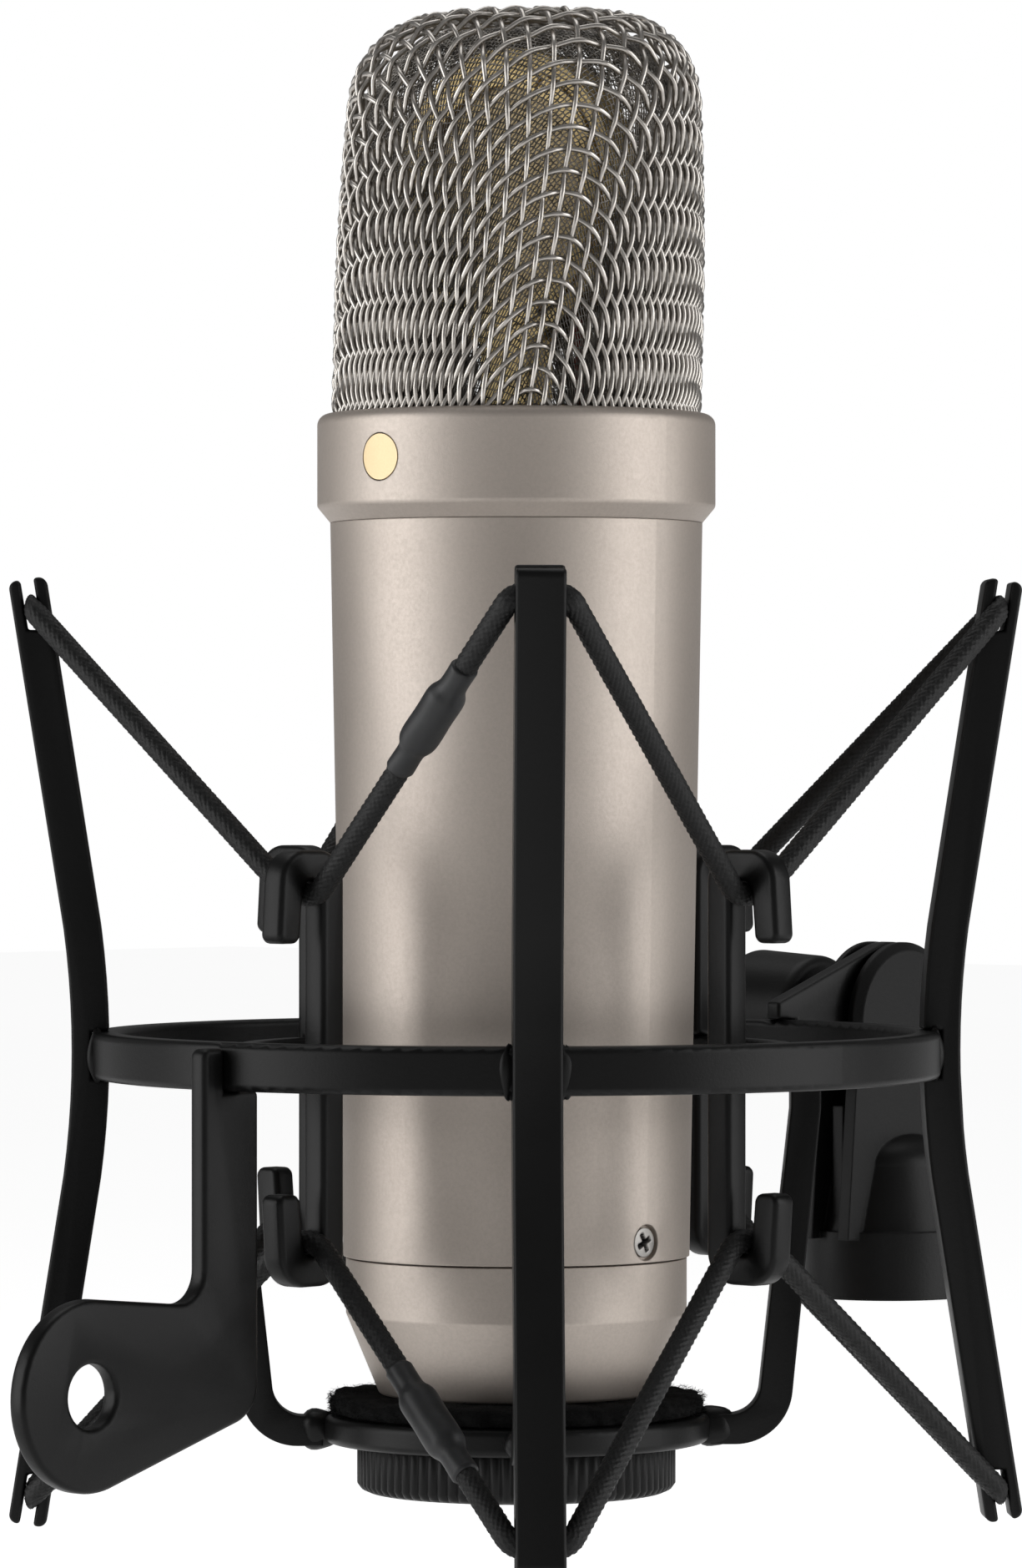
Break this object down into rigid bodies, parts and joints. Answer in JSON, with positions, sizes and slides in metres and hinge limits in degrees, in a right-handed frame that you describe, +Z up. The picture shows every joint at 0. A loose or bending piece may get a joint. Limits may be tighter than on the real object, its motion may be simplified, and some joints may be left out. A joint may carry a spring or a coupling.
{
  "type": "condenser microphone",
  "caption": "Side-address condenser microphone with a woven wire head, held by elastic cords in a ring-and-prong shock mount on a swivel stand adapter.",
  "frame": {"origin": "on the microphone's axis at the mouth of its cable socket", "axes": "+Z up the microphone towards the head, -Y out of its front (address) side, +X to its right side as seen from behind the lug"},
  "size_m": [0.1106, 0.1793, 0.1968],
  "materials": {
    "satin_nickel": "satin bead-blasted nickel finish",
    "wire_nickel": "bright drawn wire",
    "black_frame": "satin black powder coat",
    "black_plastic": "fine-textured moulded black",
    "cord": "braided elastic cord",
    "sleeve": "matte heat-shrink sleeve",
    "felt": "fuzzy black felt",
    "gold": "gold film and satin gold inlay",
    "brass": "machined brass",
    "steel": "zinc plated",
    "rubber": "soft black rubber",
    "board": "green circuit board",
    "component": "mixed component bodies",
    "wire": "insulated wire",
    "nylon": "natural nylon"
  },
  "bodies": {
    "stand_side": {"stand_adapter": "black_plastic", "thread_insert": "brass"},
    "lock_knob": {"lock_knob": "black_plastic", "clamp_stud": "steel"},
    "outer_frame": {"outer_ring": "black_frame", "prong_front_left": "black_frame", "prong_front_right": "black_frame", "prong_rear_left": "black_frame", "prong_rear_right": "black_frame", "pop_filter_lug": "black_frame", "swivel_bracket": "black_frame", "pivot_washers": "nylon", "upper_cord": "cord", "lower_cord": "cord", "upper_cord_sleeve": "sleeve", "lower_cord_sleeve": "sleeve"},
    "cradle": {"cradle_ring": "black_frame", "hook_bar_front": "black_frame", "hook_bar_right": "black_frame", "hook_bar_rear": "black_frame", "hook_bar_left": "black_frame", "cradle_arm_front_left": "black_frame", "cradle_arm_front_right": "black_frame", "cradle_arm_rear_left": "black_frame", "cradle_arm_rear_right": "black_frame", "base_ring": "black_frame", "felt_washer": "felt"},
    "microphone": {"tail_housing": "satin_nickel", "body_tube": "satin_nickel", "head_collar": "satin_nickel", "front_dot": "gold", "body_screws": "steel", "chassis_screws": "steel", "outer_mesh": "wire_nickel", "inner_mesh": "wire_nickel", "capsule_backplate": "brass", "diaphragm_front": "gold", "diaphragm_rear": "gold", "capsule_ring_front": "brass", "capsule_ring_rear": "brass", "capsule_screws": "brass", "head_deck": "black_plastic", "capsule_isolator": "rubber", "capsule_saddle": "brass", "circuit_board": "board", "board_components": "component", "chassis_rails": "steel", "capsule_leads": "wire", "socket_wires": "wire", "socket_insert": "black_plastic", "socket_pins": "gold"},
    "base_nut": {"base_nut": "black_plastic"}
  },
  "joints": [
    {"name": "mount_tilt", "type": "hinge", "parent": "stand_side", "child": "outer_frame", "pos_m": [0, 0.076, 0.0554], "axis": [1, 0, 0], "range_deg": [-180, 15]},
    {"name": "knob_turn", "type": "hinge", "parent": "stand_side", "child": "lock_knob", "pos_m": [0, 0.076, 0.0554], "axis": [-1, 0, 0], "range_deg": [-180, 0]},
    {"name": "cradle_bounce", "type": "slide", "parent": "outer_frame", "child": "cradle", "axis": [0, 0, 1], "range_m": [-0.004, 0.004], "stiffness_N_per_m": 2500, "springref_m": 0.00157, "deforming": ["upper_cord", "lower_cord"]},
    {"name": "microphone_turn", "type": "hinge", "parent": "cradle", "child": "microphone", "pos_m": [0, 0, 0], "axis": [0, 0, 1], "continuous": true},
    {"name": "base_nut_turn", "type": "hinge", "parent": "microphone", "child": "base_nut", "pos_m": [0, 0, 0], "axis": [0, 0, 1], "range_deg": [0, 180]}
  ]
}
